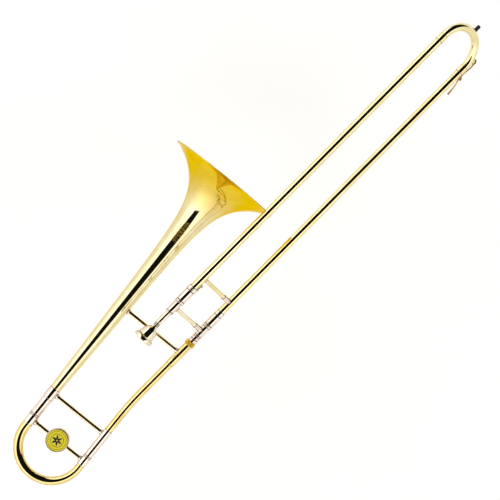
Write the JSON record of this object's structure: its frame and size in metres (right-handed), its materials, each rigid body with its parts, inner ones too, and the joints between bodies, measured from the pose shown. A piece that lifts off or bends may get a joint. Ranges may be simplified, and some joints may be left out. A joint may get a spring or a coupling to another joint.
{
  "type": "trombone",
  "caption": "Tenor slide trombone with tuning slide, counterweight, slide lock, water key and mouthpiece; bell section swivels on the hand slide.",
  "frame": {"origin": "on the lower slide tube's axis at the inner brace, where the left hand holds the instrument", "axes": "+X along the hand slide towards its end bow, +Y from the slide towards the bell, +Z square to the bell's plane, towards the upper slide tube's side"},
  "size_m": [1.1287, 0.2938, 0.216],
  "materials": {
    "nickel_silver": "polished, lacquered",
    "pale_brass": "polished, clear lacquer",
    "gold_brass": "polished, gold lacquer",
    "lacquered_brass": "polished, clear lacquer",
    "silver_plate": "polished plate",
    "chrome": "polished plate",
    "yellow_enamel": "gloss enamel",
    "steel": "satin",
    "black_rubber": "matt",
    "cork": "natural cork",
    "felt": "pressed felt"
  },
  "bodies": {
    "inner_slide": {"mouthpiece_receiver": "nickel_silver", "upper_inner_tube": "silver_plate", "leadpipe": "lacquered_brass", "upper_cork_barrel": "nickel_silver", "slide_tenon": "nickel_silver", "lower_brace_ferrule": "nickel_silver", "lower_inner_tube": "silver_plate", "lower_cork_barrel": "nickel_silver", "upper_felt_bumper": "felt", "lower_felt_bumper": "felt", "inner_brace_rod": "chrome", "inner_brace_lower_foot": "nickel_silver", "inner_brace_upper_foot": "nickel_silver"},
    "mouthpiece": {"mouthpiece": "silver_plate"},
    "slide_lock": {"slide_lock_ring": "nickel_silver"},
    "lock_nut": {"bell_lock_nut": "gold_brass"},
    "outer_slide": {"upper_outer_tube": "pale_brass", "lower_outer_tube": "pale_brass", "upper_oversleeve": "pale_brass", "lower_oversleeve": "pale_brass", "upper_bow_ferrule": "pale_brass", "lower_bow_ferrule": "pale_brass", "outer_brace_rod": "lacquered_brass", "outer_brace_lower_foot": "nickel_silver", "outer_brace_upper_foot": "nickel_silver", "slide_lock_stud": "lacquered_brass", "end_bow": "pale_brass", "bumper_stub": "lacquered_brass", "rubber_bumper": "black_rubber", "water_key_saddle": "lacquered_brass", "water_key_pin": "steel", "water_key_spring": "steel", "water_key_nipple": "pale_brass"},
    "water_key": {"water_key_lever": "lacquered_brass", "water_key_cork": "cork"},
    "bell_section": {"bell_flare": "gold_brass", "bell_stem": "gold_brass", "bell_tail_ferrule": "nickel_silver", "upper_tuning_sleeve": "nickel_silver", "lower_tuning_sleeve": "nickel_silver", "gooseneck": "lacquered_brass", "gooseneck_socket": "lacquered_brass", "section_brace_rod": "chrome", "section_brace_lower_foot": "nickel_silver", "section_brace_upper_foot": "nickel_silver", "bell_brace_rod": "chrome", "bell_brace_lower_foot": "nickel_silver", "bell_brace_upper_foot": "nickel_silver"},
    "tuning_slide": {"tuning_bow": "lacquered_brass", "upper_tuning_leg": "silver_plate", "lower_tuning_leg": "silver_plate", "upper_tuning_ferrule": "nickel_silver", "lower_tuning_ferrule": "nickel_silver", "tuning_brace_rod": "chrome", "tuning_brace_lower_foot": "nickel_silver", "tuning_brace_upper_foot": "nickel_silver", "counterweight_body": "silver_plate", "counterweight_face": "yellow_enamel", "counterweight_screw": "steel"}
  },
  "joints": [
    {"name": "hand_slide", "type": "slide", "parent": "inner_slide", "child": "outer_slide", "axis": [1, 0, 0], "range_m": [0, 0.565]},
    {"name": "mouthpiece_pull", "type": "slide", "parent": "inner_slide", "child": "mouthpiece", "axis": [-1, 0, 0], "range_m": [0, 0.025]},
    {"name": "slide_lock_turn", "type": "hinge", "parent": "inner_slide", "child": "slide_lock", "pos_m": [0.044, 0.06435, 0.06435], "axis": [1, 0, 0], "range_deg": [0, 28]},
    {"name": "lock_nut_turn", "type": "hinge", "parent": "inner_slide", "child": "lock_nut", "pos_m": [-0.0306, 0, 0], "axis": [1, 0, 0], "range_deg": [0, 360]},
    {"name": "bell_swivel", "type": "hinge", "parent": "inner_slide", "child": "bell_section", "pos_m": [-0.05, 0, 0], "axis": [-1, 0, 0], "range_deg": [0, 60]},
    {"name": "tuning_slide_pull", "type": "slide", "parent": "bell_section", "child": "tuning_slide", "axis": [-0.9944, -0.1054, 0], "range_m": [0, 0.045]},
    {"name": "water_key_hinge", "type": "hinge", "parent": "outer_slide", "child": "water_key", "pos_m": [0.6445, -0.00849, -0.00849], "axis": [0, 0.7071, -0.7071], "range_deg": [0, 12], "stiffness_Nm_per_rad": 0.03, "springref_deg": -22.92}
  ]
}
